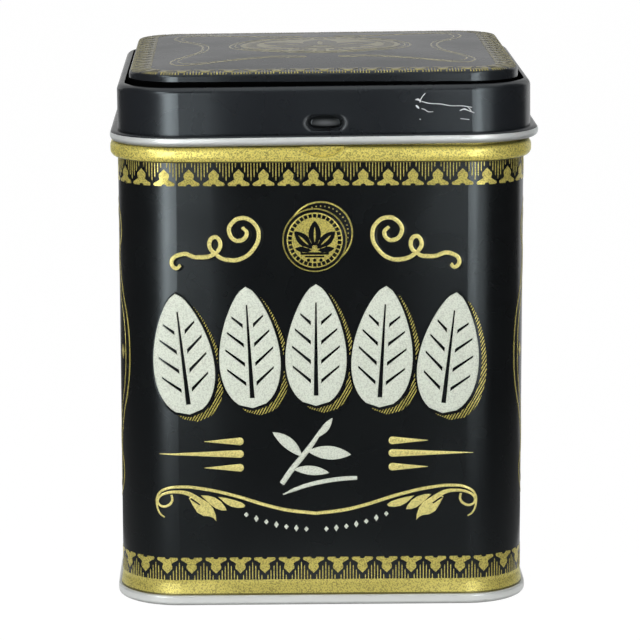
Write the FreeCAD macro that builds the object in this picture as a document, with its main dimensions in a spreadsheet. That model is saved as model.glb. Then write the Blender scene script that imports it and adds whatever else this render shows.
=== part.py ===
"""Square tea tin: a seamed tinplate body, its bottom end and a stepped lid that sits on the neck.

The frame has its origin at the middle of the base, on the surface that the tin stands on.
+Z points up, +X to the right of the front face, and the front face looks along -Y.
All sizes are in millimetres.
"""
import FreeCAD, Part
import math
import os
import Sketcher

NEAR = 1e-4
# The outlines that the dome of the lid runs through, as shares of its foot.
DOME_SHARES = (1.0, 0.6, 0.2)
# A round takes up at most this share of the room that its neighbours leave it.
ROUND_SHARE = 0.95

doc = FreeCAD.newDocument("TeaTin")


# ---------------------------------------------------------------- driving dimensions

SIZES = [
    # the side wall, bent from one sheet into a square tube
    ("body_width", 74.4, "side wall, across two opposite flats"),
    ("body_corner", 10.8, "outer radius of the side wall's upright corners"),
    ("wall_height", 80.5, "side wall, from the bottom seam to the bead"),
    ("flare_proud", 0.35, "how far the foot of the wall flares over the seam"),
    ("flare_height", 2.2, "height of that flare"),
    ("lock_width", 3.2, "lap of the upright lock seam at the back"),
    ("lock_proud", 0.25, "thickness of that lap outside the wall"),
    # the rolled bead that stops the lid
    ("bead_height", 2.9, "height of the bead"),
    ("bead_proud", 1.4, "how far the bead stands out from the wall"),
    ("bead_under_round", 1.25, "round below the bead"),
    ("bead_top_round", 0.95, "round above the bead"),
    ("notch_width", 8.4, "thumb notch in the bead, across its top"),
    ("notch_depth", 1.9, "thumb notch, down from the top of the bead"),
    ("notch_inset", 1.15, "thumb notch, in from the face of the bead"),
    # the neck inside the lid
    ("neck_height", 9.0, "height of the neck above the bead"),
    ("neck_inset", 1.4, "how far the neck is set in from the wall"),
    ("neck_round", 0.4, "round at the neck's rim"),
    # the bottom end, seamed round the foot of the wall
    ("seam_height", 1.9, "height of the bottom seam"),
    ("seam_proud", 0.85, "how far the seam stands out from the wall"),
    ("seam_width", 2.2, "width of the seam's foot ring"),
    ("seam_foot_round", 0.75, "outer round at the foot of the seam"),
    ("seam_top_round", 0.4, "round at the top of the seam"),
    ("seam_inner_round", 0.45, "inner round of the foot ring"),
    ("panel_rise", 1.3, "how far the bottom panel is raised off the ground"),
    ("panel_step", 0.45, "depth of the stiffening step in the bottom panel"),
    ("panel_margin", 4.5, "ledge between the foot ring and that step"),
    # the lid
    ("lid_proud", 0.6, "how far the lid's wall stands out from the side wall"),
    ("neck_play", 0.9, "play between the neck and the lid's wall, on each side"),
    ("lid_skirt", 10.5, "height of the lid, from its rim to the shoulder"),
    ("shoulder_round", 1.3, "round of the lid's shoulder"),
    ("curl_height", 1.95, "height of the curled rim"),
    ("curl_proud", 1.45, "how far the curled rim stands out from the lid's wall"),
    ("curl_round", 0.897, "round above and below the curled rim"),
    ("step_height", 2.4, "height of the raised top above the shoulder"),
    ("step_inset", 2.3, "how far the raised top is set in from the lid's wall"),
    ("step_round", 0.85, "round at the edge of the raised top"),
    ("dome_margin", 0.8, "flat ledge between that round and the foot of the dome"),
    ("dome_rise", 1.25, "how far the raised top is domed"),
    ("groove_width", 0.9, "groove round the foot of the raised top"),
    ("groove_depth", 0.5, "depth of that groove"),
    # the catch pressed into the front of the lid
    ("catch_length", 6.9, "catch dimple, along the lid"),
    ("catch_height", 2.85, "catch dimple, up the lid"),
    ("catch_depth", 0.75, "catch dimple, into the lid"),
    ("catch_gap", 0.55, "wall between the curled rim and the catch dimple"),
    ("catch_edge_round", 0.3, "round of the dimple's edge"),
    ("pill_length", 5.6, "raised bar in the dimple, along the lid"),
    ("pill_height", 1.75, "raised bar in the dimple, up the lid"),
    ("pill_proud", 0.5, "raised bar, out of the dimple's floor"),
    ("pill_round", 0.4, "round of the bar's edge"),
    # how the lid sits: a slip fit that is pushed a little askew
    ("rim_gap", 0.05, "clearance between the lid's rim and the bead"),
    ("seat_gap", 0.02, "clearance between the lid and the neck's rim where they meet"),
    ("lid_shift", 0.6, "how far the lid is pushed to the right on the neck"),
    ("lid_tilt", 0.5, "how far the lid is lifted on its right, in degrees"),
]

sheet = doc.addObject("Spreadsheet::Sheet", "Sizes")
for row, (alias, number, note) in enumerate(SIZES, start=1):
    sheet.set(f"A{row}", note)
    sheet.set(f"B{row}", str(number))
    sheet.setAlias(f"B{row}", alias)
doc.recompute()

# Sizes that follow from the driving ones, written as expressions of the sheet.
BODY_SIDE = "Sizes.body_width"
BODY_CORNER = "Sizes.body_corner"
WALL_FOOT = "Sizes.seam_height"
WALL_TOP = "Sizes.seam_height + Sizes.wall_height"
BEAD_TOP = f"{WALL_TOP} + Sizes.bead_height"
LID_SIDE = "Sizes.body_width + 2 * Sizes.lid_proud"
LID_CORNER = "Sizes.body_corner + Sizes.lid_proud"
NECK_SIDE = f"{BODY_SIDE} - 2 * Sizes.neck_inset"
NECK_CORNER = f"{BODY_CORNER} - Sizes.neck_inset"
CATCH_LEVEL = "Sizes.curl_height + Sizes.catch_gap + Sizes.catch_height / 2"
CATCH_FLOOR = f"({LID_SIDE}) / 2 - Sizes.catch_depth"


def value(expression):
    """The number that an expression of the sheet stands for."""
    return float(sheet.evalExpression(expression))


# ---------------------------------------------------------------- sketches and features


def new_body(name):
    """A PartDesign body with a label of its own, which also names its file."""
    body = doc.addObject("PartDesign::Body", name)
    body.Label = name
    return body


def new_sketch(body, name, plane, offset):
    """A sketch on one of the body's own origin planes, moved along the plane's normal by offset."""
    sketch = body.newObject("Sketcher::SketchObject", name)
    support = [part for part in body.Origin.OriginFeatures if part.Role == plane][0]
    sketch.AttachmentSupport = [(support, "")]
    sketch.MapMode = "FlatFace"
    sketch.setExpression("AttachmentOffset.Base.z", offset)
    return sketch


def name_constraint(sketch, index, name, expression):
    """Names a constraint and ties it to the sheet."""
    sketch.renameConstraint(index, name)
    sketch.setExpression(f"Constraints.{name}", expression)


def draw_rounded_square(sketch, label, side, corner):
    """Draws a square outline with round corners about the sketch's origin."""
    half = value(side) / 2
    radius = value(corner)
    flat = half - radius
    first = sketch.GeometryCount
    point = FreeCAD.Vector
    normal = point(0, 0, 1)
    ends = [
        (point(-flat, -half), point(flat, -half)),
        (point(half, -flat), point(half, flat)),
        (point(flat, half), point(-flat, half)),
        (point(-half, flat), point(-half, -flat)),
    ]
    middles = [point(flat, -flat), point(flat, flat), point(-flat, flat), point(-flat, -flat)]
    quarter = math.pi / 2
    for turn, (start, end) in enumerate(ends):
        sketch.addGeometry(Part.LineSegment(start, end))
        circle = Part.Circle(middles[turn], normal, radius)
        sketch.addGeometry(Part.ArcOfCircle(circle, (turn - 1) * quarter, turn * quarter))
    for turn in range(4):
        line = first + 2 * turn
        arc = line + 1
        after = first + (2 * turn + 2) % 8
        sketch.addConstraint(Sketcher.Constraint("Tangent", line, 2, arc, 1))
        sketch.addConstraint(Sketcher.Constraint("Tangent", arc, 2, after, 1))
        if turn:
            sketch.addConstraint(Sketcher.Constraint("Equal", first + 1, arc))
    bottom, right, top, left = first, first + 2, first + 4, first + 6
    sketch.addConstraint(Sketcher.Constraint("Symmetric", bottom, 1, bottom, 2, -2))
    sketch.addConstraint(Sketcher.Constraint("Symmetric", right, 1, right, 2, -1))
    sketch.addConstraint(Sketcher.Constraint("Horizontal", top))
    sketch.addConstraint(Sketcher.Constraint("Vertical", left))
    sketch.addConstraint(Sketcher.Constraint("Equal", bottom, right))
    index = sketch.addConstraint(Sketcher.Constraint("DistanceX", left, 1, right, 1, 2 * half))
    name_constraint(sketch, index, f"{label}Side", side)
    index = sketch.addConstraint(Sketcher.Constraint("Radius", first + 1, radius))
    name_constraint(sketch, index, f"{label}Corner", corner)


def draw_obround(sketch, length, height, level):
    """Draws a lying obround about the sketch's upright axis, with its middle at level."""
    long_side = value(length)
    radius = value(height) / 2
    middle = value(level)
    reach = long_side / 2 - radius
    point = FreeCAD.Vector
    normal = point(0, 0, 1)
    quarter = math.pi / 2
    right = Part.Circle(point(reach, middle), normal, radius)
    left = Part.Circle(point(-reach, middle), normal, radius)
    bottom_line = Part.LineSegment(point(-reach, middle - radius), point(reach, middle - radius))
    top_line = Part.LineSegment(point(reach, middle + radius), point(-reach, middle + radius))
    sketch.addGeometry(bottom_line)
    sketch.addGeometry(Part.ArcOfCircle(right, -quarter, quarter))
    sketch.addGeometry(top_line)
    sketch.addGeometry(Part.ArcOfCircle(left, quarter, 3 * quarter))
    for line in range(4):
        sketch.addConstraint(Sketcher.Constraint("Tangent", line, 2, (line + 1) % 4, 1))
    sketch.addConstraint(Sketcher.Constraint("Symmetric", 0, 1, 0, 2, -2))
    index = sketch.addConstraint(Sketcher.Constraint("DistanceX", 0, 1, 0, 2, 2 * reach))
    name_constraint(sketch, index, "Straight", f"({length}) - ({height})")
    index = sketch.addConstraint(Sketcher.Constraint("Radius", 1, radius))
    name_constraint(sketch, index, "EndRadius", f"({height}) / 2")
    index = sketch.addConstraint(Sketcher.Constraint("DistanceY", -1, 1, 1, 3, middle))
    name_constraint(sketch, index, "Level", level)


def draw_rectangle(sketch, width, foot, height):
    """Draws a rectangle about the sketch's upright axis, standing on the level foot."""
    half = value(width) / 2
    low = value(foot)
    high = low + value(height)
    point = FreeCAD.Vector
    corners = [point(-half, low), point(half, low), point(half, high), point(-half, high)]
    for turn in range(4):
        sketch.addGeometry(Part.LineSegment(corners[turn], corners[(turn + 1) % 4]))
    for turn in range(4):
        sketch.addConstraint(Sketcher.Constraint("Coincident", turn, 2, (turn + 1) % 4, 1))
    sketch.addConstraint(Sketcher.Constraint("Symmetric", 0, 1, 0, 2, -2))
    sketch.addConstraint(Sketcher.Constraint("Vertical", 1))
    sketch.addConstraint(Sketcher.Constraint("Horizontal", 2))
    sketch.addConstraint(Sketcher.Constraint("Vertical", 3))
    index = sketch.addConstraint(Sketcher.Constraint("DistanceX", 0, 1, 0, 2, 2 * half))
    name_constraint(sketch, index, "Width", width)
    index = sketch.addConstraint(Sketcher.Constraint("DistanceY", 1, 1, 1, 2, high - low))
    name_constraint(sketch, index, "Rise", height)
    index = sketch.addConstraint(Sketcher.Constraint("DistanceY", -1, 1, 0, 1, low))
    name_constraint(sketch, index, "Foot", foot)


def rounded_square(body, name, side, corner, level):
    """A sketch of one rounded square, level with the ground at a height of level."""
    sketch = new_sketch(body, name, "XY_Plane", level)
    draw_rounded_square(sketch, "Outline", side, corner)
    return sketch


def rounded_frame(body, name, outer, inner, level):
    """A sketch of two rounded squares, one inside the other; each is a (side, corner) pair."""
    sketch = new_sketch(body, name, "XY_Plane", level)
    draw_rounded_square(sketch, "Outer", *outer)
    draw_rounded_square(sketch, "Inner", *inner)
    return sketch


def extrude(body, kind, name, sketch, length, backwards=False):
    """A Pad or a Pocket of a sketch; it stops the build if it left the solid as it was."""
    before = body.Shape.Volume if body.Tip else 0.0
    feature = body.newObject(f"PartDesign::{kind}", name)
    feature.Profile = sketch
    feature.setExpression("Length", length)
    feature.Reversed = backwards
    sketch.Visibility = False
    doc.recompute()
    change = body.Shape.Volume - before
    if (kind == "Pad" and change <= NEAR) or (kind == "Pocket" and change >= -NEAR):
        raise RuntimeError(f"{name} changed nothing")
    return feature


def pad(body, name, sketch, length, backwards=False):
    """Adds material along the sketch's normal, or against it."""
    return extrude(body, "Pad", name, sketch, length, backwards)


def pocket(body, name, sketch, length, backwards=False):
    """Cuts against the sketch's normal, or along it."""
    return extrude(body, "Pocket", name, sketch, length, backwards)


def loft(body, name, outlines):
    """Adds a solid that runs through several outlines, from the first to the last."""
    before = body.Shape.Volume
    feature = body.newObject("PartDesign::AdditiveLoft", name)
    feature.Profile = outlines[0]
    feature.Sections = outlines[1:]
    doc.recompute()
    if body.Shape.Volume - before <= NEAR:
        raise RuntimeError(f"{name} changed nothing")
    return feature


def fillet(body, name, edges, radius, room):
    """Rounds named edges of the body's last feature, within the room that the faces beside them leave."""
    if not edges:
        raise RuntimeError(f"{name} found no edge to round")
    base = body.Tip
    feature = body.newObject("PartDesign::Fillet", name)
    feature.Base = (base, edges)
    feature.setExpression("Radius", f"min({radius}; {ROUND_SHARE} * ({room}))")
    doc.recompute()
    if "Invalid" in feature.State:
        raise RuntimeError(f"{name} failed: {feature.getStatusString()}")
    return feature


def outline_edges(body, level, side):
    """Names of the level edges that run round an outline of this side at this height."""
    height = value(level)
    half = value(side) / 2
    names = []
    for number, edge in enumerate(body.Shape.Edges, start=1):
        corners = [vertex.Point for vertex in edge.Vertexes]
        is_level = all(abs(corner.z - height) < NEAR for corner in corners)
        reach = [max(abs(corner.x), abs(corner.y)) for corner in corners]
        if is_level and all(abs(far - half) < NEAR for far in reach):
            names.append(f"Edge{number}")
    return names


def front_edges(body, depth, length, level):
    """Names of the edges in an upright plane of the front, within half a length of its middle."""
    half = value(length) / 2 + NEAR
    middle = value(level)
    plane = -value(depth)
    names = []
    for number, edge in enumerate(body.Shape.Edges, start=1):
        corners = [vertex.Point for vertex in edge.Vertexes]
        in_plane = all(abs(corner.y - plane) < NEAR for corner in corners)
        is_close = all(abs(corner.x) < half and abs(corner.z - middle) < half for corner in corners)
        if in_plane and is_close:
            names.append(f"Edge{number}")
    return names


# ---------------------------------------------------------------- the body


def make_tin_body():
    """The side wall with its flared foot, lock seam, bead and neck, filled by its contents."""
    body = new_body("tin_body")
    wall = rounded_square(body, "WallOutline", BODY_SIDE, BODY_CORNER, WALL_FOOT)
    pad(body, "Wall", wall, "Sizes.wall_height")

    # The foot of the wall flares outwards over the bottom seam.
    flare_side = f"{BODY_SIDE} + 2 * Sizes.flare_proud"
    flare_corner = f"{BODY_CORNER} + Sizes.flare_proud"
    flare_top = f"{WALL_FOOT} + Sizes.flare_height"
    foot = rounded_square(body, "FlareFoot", flare_side, flare_corner, WALL_FOOT)
    head = rounded_square(body, "FlareHead", BODY_SIDE, BODY_CORNER, flare_top)
    loft(body, "Flare", [foot, head])

    # The bead is rolled outwards, round above and below.
    bead_side = f"{BODY_SIDE} + 2 * Sizes.bead_proud"
    bead_corner = f"{BODY_CORNER} + Sizes.bead_proud"
    bead = rounded_square(body, "BeadOutline", bead_side, bead_corner, WALL_TOP)
    pad(body, "Bead", bead, "Sizes.bead_height")
    half_bead = "Sizes.bead_height / 2"
    under = outline_edges(body, WALL_TOP, bead_side)
    fillet(body, "BeadUnder", under, "Sizes.bead_under_round", f"min(Sizes.bead_proud; {half_bead})")
    over = outline_edges(body, BEAD_TOP, bead_side)
    fillet(body, "BeadOver", over, "Sizes.bead_top_round", half_bead)

    # The two edges of the sheet are hooked together in a flat upright lap at the back.
    back = f"-({BODY_SIDE}) / 2"
    lap = new_sketch(body, "LockOutline", "XZ_Plane", back)
    draw_rectangle(lap, "Sizes.lock_width", WALL_FOOT, "Sizes.wall_height")
    pad(body, "LockSeam", lap, "Sizes.lock_proud", backwards=True)

    # The neck stands in the lid.
    neck_top = f"{BEAD_TOP} + Sizes.neck_height"
    neck = rounded_square(body, "NeckOutline", NECK_SIDE, NECK_CORNER, BEAD_TOP)
    pad(body, "Neck", neck, "Sizes.neck_height")
    rim = outline_edges(body, neck_top, NECK_SIDE)
    fillet(body, "NeckRim", rim, "Sizes.neck_round", "Sizes.neck_height")

    # The thumb notch is a shallow arc that the bead leaves free at the front.
    face = f"({bead_side}) / 2"
    notch = new_sketch(body, "NotchArc", "XZ_Plane", face)
    arc_radius = "(Sizes.notch_width^2 / 4 + Sizes.notch_depth^2) / (2 * Sizes.notch_depth)"
    arc_level = f"{BEAD_TOP} - Sizes.notch_depth + {arc_radius}"
    middle = FreeCAD.Vector(0, value(arc_level))
    circle = Part.Circle(middle, FreeCAD.Vector(0, 0, 1), value(arc_radius))
    notch.addGeometry(circle)
    notch.addConstraint(Sketcher.Constraint("PointOnObject", 0, 3, -2))
    index = notch.addConstraint(Sketcher.Constraint("Radius", 0, value(arc_radius)))
    name_constraint(notch, index, "ArcRadius", arc_radius)
    index = notch.addConstraint(Sketcher.Constraint("DistanceY", -1, 1, 0, 3, middle.y))
    name_constraint(notch, index, "ArcLevel", arc_level)
    pocket(body, "ThumbNotch", notch, "Sizes.notch_inset")
    return body


# ---------------------------------------------------------------- the bottom end


def make_tin_base():
    """The bottom end: a seam ring round the foot and a raised panel with a stiffening step."""
    body = new_body("tin_base")
    side = f"{BODY_SIDE} + 2 * Sizes.seam_proud"
    corner = f"{BODY_CORNER} + Sizes.seam_proud"
    ring = rounded_square(body, "SeamOutline", side, corner, "0")
    pad(body, "Seam", ring, "Sizes.seam_height")

    inner_side = f"({side}) - 2 * Sizes.seam_width"
    inner_corner = f"({corner}) - Sizes.seam_width"
    inner = rounded_square(body, "PanelOutline", inner_side, inner_corner, "0")
    pocket(body, "Panel", inner, "Sizes.panel_rise", backwards=True)
    step_side = f"({inner_side}) - 2 * Sizes.panel_margin"
    step_corner = f"({inner_corner}) - Sizes.panel_margin"
    step = rounded_square(body, "StepOutline", step_side, step_corner, "Sizes.panel_rise")
    pad(body, "PanelStep", step, "Sizes.panel_step", backwards=True)

    half_seam = "Sizes.seam_height / 2"
    foot = outline_edges(body, "0", side)
    fillet(body, "SeamFoot", foot, "Sizes.seam_foot_round", f"min({half_seam}; Sizes.seam_width / 2)")
    top = outline_edges(body, "Sizes.seam_height", side)
    fillet(body, "SeamTop", top, "Sizes.seam_top_round", f"min({half_seam}; Sizes.seam_proud)")
    inside = outline_edges(body, "0", inner_side)
    room = "min(Sizes.panel_rise; Sizes.seam_width / 2)"
    fillet(body, "SeamInside", inside, "Sizes.seam_inner_round", room)
    return body


# ---------------------------------------------------------------- the lid


def make_tin_lid():
    """The stepped lid, drawn with its rim at height zero and then set on the neck."""
    body = new_body("tin_lid")
    skirt = rounded_square(body, "SkirtOutline", LID_SIDE, LID_CORNER, "0")
    pad(body, "Skirt", skirt, "Sizes.lid_skirt")
    shoulder = outline_edges(body, "Sizes.lid_skirt", LID_SIDE)
    fillet(body, "Shoulder", shoulder, "Sizes.shoulder_round", "Sizes.step_inset - Sizes.groove_width")

    # The top is pressed up inside the shoulder, with a groove round its foot.
    step_side = f"({LID_SIDE}) - 2 * Sizes.step_inset"
    step_corner = f"({LID_CORNER}) - Sizes.step_inset"
    step = rounded_square(body, "StepOutline", step_side, step_corner, "Sizes.lid_skirt")
    pad(body, "RaisedTop", step, "Sizes.step_height")
    top = "Sizes.lid_skirt + Sizes.step_height"
    fillet(body, "TopEdge", outline_edges(body, top, step_side), "Sizes.step_round", "Sizes.step_height")
    groove_outer = (f"({step_side}) + 2 * Sizes.groove_width", f"({step_corner}) + Sizes.groove_width")
    groove_inner = (step_side, step_corner)
    groove = rounded_frame(body, "GrooveOutline", groove_outer, groove_inner, "Sizes.lid_skirt")
    pocket(body, "Groove", groove, "Sizes.groove_depth")

    # The raised top is pressed into a shallow dome, whose outlines shrink as it rises.
    dome_side = f"({step_side}) - 2 * (Sizes.step_round + Sizes.dome_margin)"
    dome_corner = f"({step_corner}) - Sizes.step_round - Sizes.dome_margin"
    outlines = []
    for number, share in enumerate(DOME_SHARES):
        level = f"{top} + Sizes.dome_rise * (1 - {share}^2)"
        side = f"({dome_side}) * {share}"
        outlines.append(rounded_square(body, f"DomeOutline{number}", side, f"({dome_corner}) * {share}", level))
    loft(body, "Dome", outlines)

    # The sheet is curled outwards into a round rim.
    curl_side = f"({LID_SIDE}) + 2 * Sizes.curl_proud"
    curl_corner = f"({LID_CORNER}) + Sizes.curl_proud"
    curl = rounded_square(body, "CurlOutline", curl_side, curl_corner, "0")
    pad(body, "Curl", curl, "Sizes.curl_height")
    room = "min(Sizes.curl_height / 2; Sizes.curl_proud)"
    fillet(body, "CurlUnder", outline_edges(body, "0", curl_side), "Sizes.curl_round", room)
    fillet(body, "CurlOver", outline_edges(body, "Sizes.curl_height", curl_side), "Sizes.curl_round", room)

    # The neck enters the lid from below.
    bore_side = f"{NECK_SIDE} + 2 * Sizes.neck_play"
    bore_corner = f"{NECK_CORNER} + Sizes.neck_play"
    bore = rounded_square(body, "BoreOutline", bore_side, bore_corner, "0")
    pocket(body, "Bore", bore, "Sizes.neck_height - Sizes.rim_gap", backwards=True)

    # The catch is a dimple with a raised bar, pressed into the front of the skirt.
    face = f"({LID_SIDE}) / 2"
    dimple = new_sketch(body, "CatchOutline", "XZ_Plane", face)
    draw_obround(dimple, "Sizes.catch_length", "Sizes.catch_height", CATCH_LEVEL)
    pocket(body, "Catch", dimple, "Sizes.catch_depth")
    rim = front_edges(body, face, "Sizes.catch_length", CATCH_LEVEL)
    fillet(body, "CatchEdge", rim, "Sizes.catch_edge_round", "min(Sizes.catch_gap; Sizes.catch_depth)")
    bar = new_sketch(body, "BarOutline", "XZ_Plane", CATCH_FLOOR)
    draw_obround(bar, "Sizes.pill_length", "Sizes.pill_height", CATCH_LEVEL)
    pad(body, "CatchBar", bar, "Sizes.pill_proud")
    crest = f"{CATCH_FLOOR} + Sizes.pill_proud"
    edges = front_edges(body, crest, "Sizes.pill_length", CATCH_LEVEL)
    fillet(body, "CatchBarEdge", edges, "Sizes.pill_round", "min(Sizes.pill_proud; Sizes.pill_height / 2)")

    # The lid leans on the left of the neck's rim, is lifted on its right and pushed sideways.
    neck_half = f"(({BODY_SIDE}) / 2 - Sizes.neck_inset)"
    lift = f"{neck_half} * sin(Sizes.lid_tilt * 1 deg)"
    height = f"{BEAD_TOP} + Sizes.rim_gap + Sizes.seat_gap + {lift}"
    place = f"vector(Sizes.lid_shift; 0; {height})"
    turn = "rotation(vector(0; 1; 0); -Sizes.lid_tilt)"
    body.setExpression("Placement", f"placement({place}; {turn})")
    doc.recompute()
    return body


# ---------------------------------------------------------------- checks and files

parts = [make_tin_body(), make_tin_base(), make_tin_lid()]
doc.recompute()

for thing in doc.Objects:
    if "Invalid" in thing.State or "Error" in thing.State:
        raise RuntimeError(f"{thing.Name} failed: {thing.State}")
for part in parts:
    shape = part.Shape
    if shape.isNull() or not shape.isValid() or len(shape.Solids) != 1:
        raise RuntimeError(f"{part.Label} isn't one valid solid")

os.makedirs("parts", exist_ok=True)
for part in parts:
    part.Shape.exportStep(f"parts/{part.Label}.step")
    box = part.Shape.BoundBox
    print(
        f"{part.Label}: volume {part.Shape.Volume:.1f}, "
        f"x {box.XMin:.2f} to {box.XMax:.2f}, y {box.YMin:.2f} to {box.YMax:.2f}, "
        f"z {box.ZMin:.2f} to {box.ZMax:.2f}"
    )
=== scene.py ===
# %% [markdown]
# # A printed tea tin
# A small square tea tin, pressed and seamed from thin tinplate. Its sheet was printed flat, in black lacquer,
# speckled gold ink and cream ink, and only then bent into a tube. Some of the print was pressed up from behind,
# so it catches the light. The solids come from the CAD model; this script gives them their finish and lays the
# print on them. Everything printed is drawn flat, in millimetres, and then bent round the wall.

# %% Load the tin
import math

import bmesh
import bpy
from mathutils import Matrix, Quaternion, Vector
from mathutils.bvhtree import BVHTree


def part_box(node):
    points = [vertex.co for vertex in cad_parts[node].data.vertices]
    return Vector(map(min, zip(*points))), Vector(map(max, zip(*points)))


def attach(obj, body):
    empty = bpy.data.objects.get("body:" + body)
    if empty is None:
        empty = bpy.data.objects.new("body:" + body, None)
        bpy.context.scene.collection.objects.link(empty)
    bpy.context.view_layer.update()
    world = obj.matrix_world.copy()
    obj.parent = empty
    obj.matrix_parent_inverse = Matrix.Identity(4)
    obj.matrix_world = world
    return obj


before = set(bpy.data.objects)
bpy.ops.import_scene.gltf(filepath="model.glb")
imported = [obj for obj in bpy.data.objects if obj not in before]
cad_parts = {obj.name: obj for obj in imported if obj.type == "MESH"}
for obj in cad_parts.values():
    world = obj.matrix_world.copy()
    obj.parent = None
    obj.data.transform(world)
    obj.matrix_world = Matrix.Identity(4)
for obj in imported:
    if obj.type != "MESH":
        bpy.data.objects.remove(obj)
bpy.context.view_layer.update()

# %% [markdown]
# ## Sizes
# Drawing is done in millimetres, and the last step of each piece turns them into Blender's metres. The wall is a
# square tube with round corners. One quarter of the way round is a flat and one corner's arc.

# %% Sizes of the wall and the lid
MM = 0.001
WALL_HALF = 37.2
WALL_CORNER = 10.8
FLAT_HALF = WALL_HALF - WALL_CORNER
CORNER_ARC = WALL_CORNER * math.pi / 2
QUARTER = 2 * FLAT_HALF + CORNER_ARC
FOOT_BAND = 4.75
BEAD_LEVEL = 82.4
LID_WALL = 37.8
LID_TOP = 12.9
LID_SHIFT = 0.6
LID_TILT = math.radians(0.5)
CURL_REACH = 38.35
CURL_TOP = 1.55
lid_low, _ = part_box("tin_lid")
LID_RIM = lid_low.z / MM + CURL_REACH * math.sin(LID_TILT)
PRINT_SHIFT = -1.2
INK = 0.035
print(f"one quarter of the wall is {QUARTER:.2f} mm; the lid's rim is {LID_RIM:.2f} mm up")

# %% [markdown]
# ## Bending a flat drawing round the tin
# A drawing has u along the wall, v up the wall and a lift out of the wall. On a flat, u is simply sideways. On a
# corner, u runs along the arc. Bending only moves points, so long faces are first cut across wherever they have to
# bend. The lid's drawings go on its domed top or its front instead, tilted as the lid is.

# %% Places on the tin


def round_the_square(u, outward, half, corner):
    """A point u along a rounded square, seen from above, starting in the middle of its front."""
    flat = half - corner
    quarter_length = 2 * flat + corner * math.pi / 2
    turns = math.floor(u / quarter_length + 0.5)
    along = u - turns * quarter_length
    side = math.copysign(1.0, along)
    if abs(along) <= flat:
        x, y = along, -(half + outward)
    else:
        angle = (abs(along) - flat) / corner
        reach = corner + outward
        x, y = side * (flat + reach * math.sin(angle)), -(flat + reach * math.cos(angle))
    for _ in range(turns % 4):
        x, y = -y, x
    return x, y


def on_wall(u, v, lift):
    x, y = round_the_square(u, lift, WALL_HALF, WALL_CORNER)
    return Vector((x, y, v))


def on_lid(x, y, z):
    """From the lid's own axes, with its rim at height zero, to where the askew lid really is."""
    sideways = x * math.cos(LID_TILT) - z * math.sin(LID_TILT) + LID_SHIFT
    upwards = x * math.sin(LID_TILT) + z * math.cos(LID_TILT) + LID_RIM
    return Vector((sideways, y, upwards))


lid_upright = on_lid(0, 0, 1) - on_lid(0, 0, 0)
lid_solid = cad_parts["tin_lid"]
lid_points = [lid_solid.matrix_world @ vert.co for vert in lid_solid.data.vertices]
lid_surface = BVHTree.FromPolygons(lid_points, [face.vertices[:] for face in lid_solid.data.polygons])


def on_lid_top(u, v, lift):
    """Straight down from well above the lid until its domed top is met."""
    start = on_lid(u, v, LID_TOP + 5.0)
    met = lid_surface.ray_cast(start * MM, -lid_upright)[0]
    return met / MM + lid_upright * lift


def on_lid_front(u, v, lift):
    return on_lid(u, -(LID_WALL + lift), v)


CORNER_STEPS = 14
BEND_STEP = CORNER_ARC / CORNER_STEPS
DOME_STEP = 3.0


def cut_across(bm, point, normal):
    """Cuts everything in a drawing along a plane."""
    everything = bm.verts[:] + bm.edges[:] + bm.faces[:]
    bmesh.ops.bisect_plane(bm, geom=everything, dist=1e-5, plane_co=point, plane_no=normal)


def cut_for_bends(bm):
    """Cuts the drawing across at every step of every corner that it passes."""
    reach = [vert.co.x for vert in bm.verts]
    first = math.floor(min(reach) / QUARTER - 0.5)
    last = math.ceil(max(reach) / QUARTER + 0.5)
    for turn in range(first, last + 1):
        for step in range(CORNER_STEPS + 1):
            u = turn * QUARTER + FLAT_HALF + step * BEND_STEP
            if min(reach) < u < max(reach):
                cut_across(bm, (u, 0, 0), (1, 0, 0))


def cut_for_dome(bm):
    """Cuts the drawing into squares, so that it can follow the domed top of the lid."""
    for step in range(-9, 10):
        for across in ((1, 0, 0), (0, 1, 0)):
            cut_across(bm, Vector(across) * (step * DOME_STEP), across)


cuts = {on_wall: cut_for_bends, on_lid_top: cut_for_dome}

# %% [markdown]
# ## Two ways to draw
# A filled shape is a flat 2D curve: an outline inside another is a hole, and the curve's own extrude and bevel give
# it a thickness with a soft edge. A stroke is a curve with a round section whose radius swells and thins, pressed
# flat. Both are turned into meshes at once, so that they can be bent. Half of each lies inside the wall, and so the
# pressed-up print has no gap under it.

# %% Shapes and strokes


def add_object(name, data):
    made = bpy.data.objects.new(name, data)
    bpy.context.scene.collection.objects.link(made)
    return made


def mesh_from(bm, name):
    mesh = bpy.data.meshes.new(name)
    bm.to_mesh(mesh)
    bm.free()
    return mesh


def mesh_of(curve_data):
    """Turns curve data into a mesh and throws the curve away."""
    holder = add_object("drawing", curve_data)
    depsgraph = bpy.context.evaluated_depsgraph_get()
    mesh = bpy.data.meshes.new_from_object(holder.evaluated_get(depsgraph))
    bpy.data.objects.remove(holder)
    bpy.data.curves.remove(curve_data)
    return mesh


def shape(outlines, rise=INK, edge=0.0):
    """A filled shape that stands rise out of the surface, with its edge rounded."""
    data = bpy.data.curves.new("outline", "CURVE")
    data.dimensions = "2D"
    data.fill_mode = "BOTH"
    data.extrude = rise - edge
    data.bevel_depth = edge
    data.bevel_resolution = 3
    data.offset = -edge
    for outline in outlines:
        spline = data.splines.new("POLY")
        spline.points.add(len(outline) - 1)
        for point, (u, v) in zip(spline.points, outline):
            point.co = (u, v, 0, 1)
        spline.use_cyclic_u = True
    return mesh_of(data)


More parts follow.
